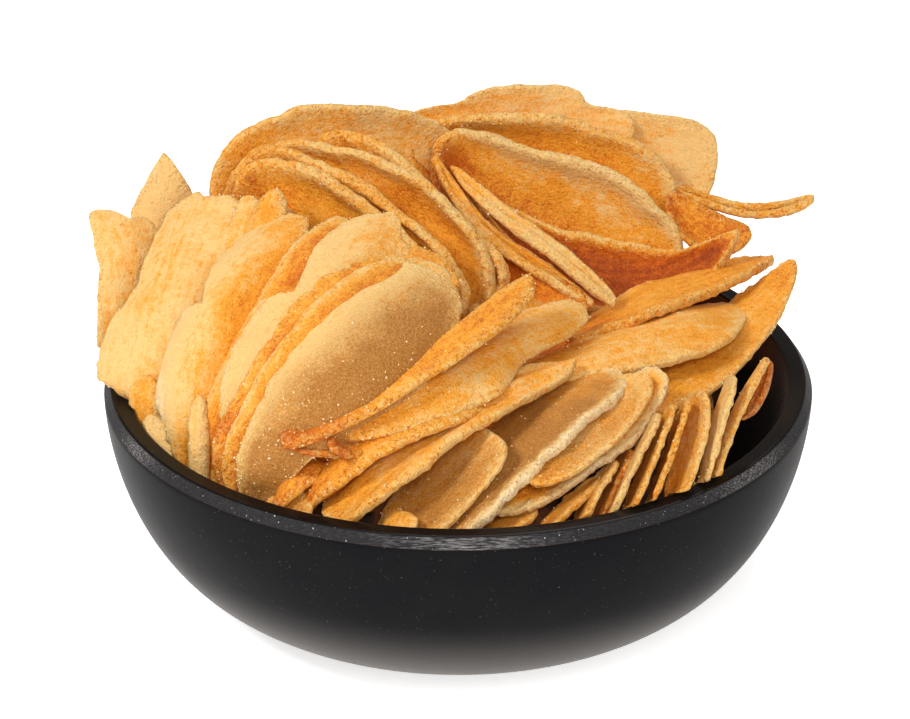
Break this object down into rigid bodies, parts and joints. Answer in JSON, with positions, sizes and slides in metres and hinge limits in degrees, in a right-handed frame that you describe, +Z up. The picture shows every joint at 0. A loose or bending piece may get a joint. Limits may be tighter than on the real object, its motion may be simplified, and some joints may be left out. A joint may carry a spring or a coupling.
{
  "type": "bowl of crisps",
  "caption": "Round dark bowl filled with a tall loose heap of long oval golden crisps, fanned on the left and stacked behind.",
  "frame": {"origin": "centre of the bowl's flat foot", "axes": "+Z up out of the bowl, -Y towards the front where the low side of the heap is, +X to the right seen from the front"},
  "size_m": [0.1664, 0.16, 0.0987],
  "materials": {
    "bowl_charcoal": "matte charcoal outside, near-black gloss inside, brushed grey band at the rim",
    "crisp_golden": "dry fried crisp, fine grainy face, pale crumbly edges, salt grains and seasoning specks"
  },
  "bodies": {
    "root": {"bowl": "bowl_charcoal", "crisp_heap": "crisp_golden"}
  },
  "joints": []
}
